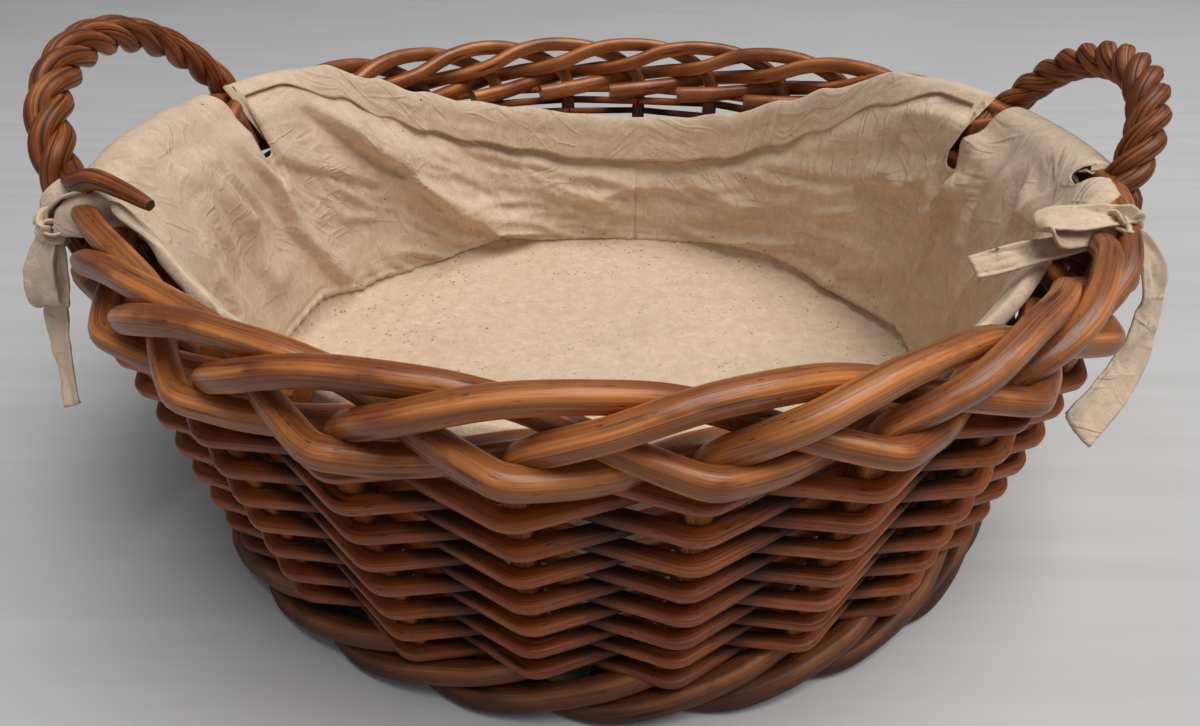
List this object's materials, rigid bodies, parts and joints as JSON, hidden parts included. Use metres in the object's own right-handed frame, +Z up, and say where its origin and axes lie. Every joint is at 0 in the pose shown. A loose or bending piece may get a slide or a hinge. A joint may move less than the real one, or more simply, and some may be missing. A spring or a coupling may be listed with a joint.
{
  "type": "lined wicker basket",
  "caption": "Low round wicker basket with a twisted rod border, a rope handle at each end and a loose calico lining that is tied on.",
  "frame": {"origin": "centre of the floor circle that the foot border stands on", "axes": "+Z up, +X towards the right handle, so that the handles stand at +X and -X, and -Y towards the front that the picture looks at"},
  "size_m": [0.5467, 0.525, 0.2387],
  "materials": {
    "wicker": "varnished orange-brown rods, semi-gloss",
    "split_wicker": "varnished darker brown split rods, semi-gloss",
    "cane": "varnished twisted cane, semi-gloss",
    "calico": "undyed cotton calico, creased, matt"
  },
  "bodies": {
    "root": {"stake_01": "wicker", "stake_02": "wicker", "stake_03": "wicker", "stake_04": "wicker", "stake_05": "wicker", "stake_06": "wicker", "stake_07": "wicker", "stake_08": "wicker", "stake_09": "wicker", "stake_10": "wicker", "stake_11": "wicker", "stake_12": "wicker", "stake_13": "wicker", "stake_14": "wicker", "stake_15": "wicker", "stake_16": "wicker", "stake_17": "wicker", "stake_18": "wicker", "stake_19": "wicker", "stake_20": "wicker", "stake_21": "wicker", "stake_22": "wicker", "stake_23": "wicker", "stake_24": "wicker", "stake_25": "wicker", "stake_26": "wicker", "weaver_01": "split_wicker", "weaver_02": "split_wicker", "weaver_03": "split_wicker", "weaver_04": "split_wicker", "weaver_05": "split_wicker", "weaver_06": "split_wicker", "weaver_07": "split_wicker", "weaver_08": "split_wicker", "weaver_09": "split_wicker", "weaver_10": "split_wicker", "weaver_11": "split_wicker", "weaver_12": "split_wicker", "weaver_13": "split_wicker", "weaver_14": "split_wicker", "weaver_15": "split_wicker", "base_stick_1": "wicker", "base_stick_2": "wicker", "base_stick_3": "wicker", "base_stick_4": "wicker", "base_stick_5": "wicker", "base_stick_6": "wicker", "base_weaver_1": "split_wicker", "base_weaver_2": "split_wicker", "left_handle_strand_1": "cane", "left_handle_strand_2": "cane", "left_handle_strand_3": "cane", "right_handle_strand_1": "cane", "right_handle_strand_2": "cane", "right_handle_strand_3": "cane", "lining_floor_panel": "calico", "lining_wall_panel": "calico", "left_lining_tie": "calico", "right_lining_tie": "calico"}
  },
  "joints": []
}
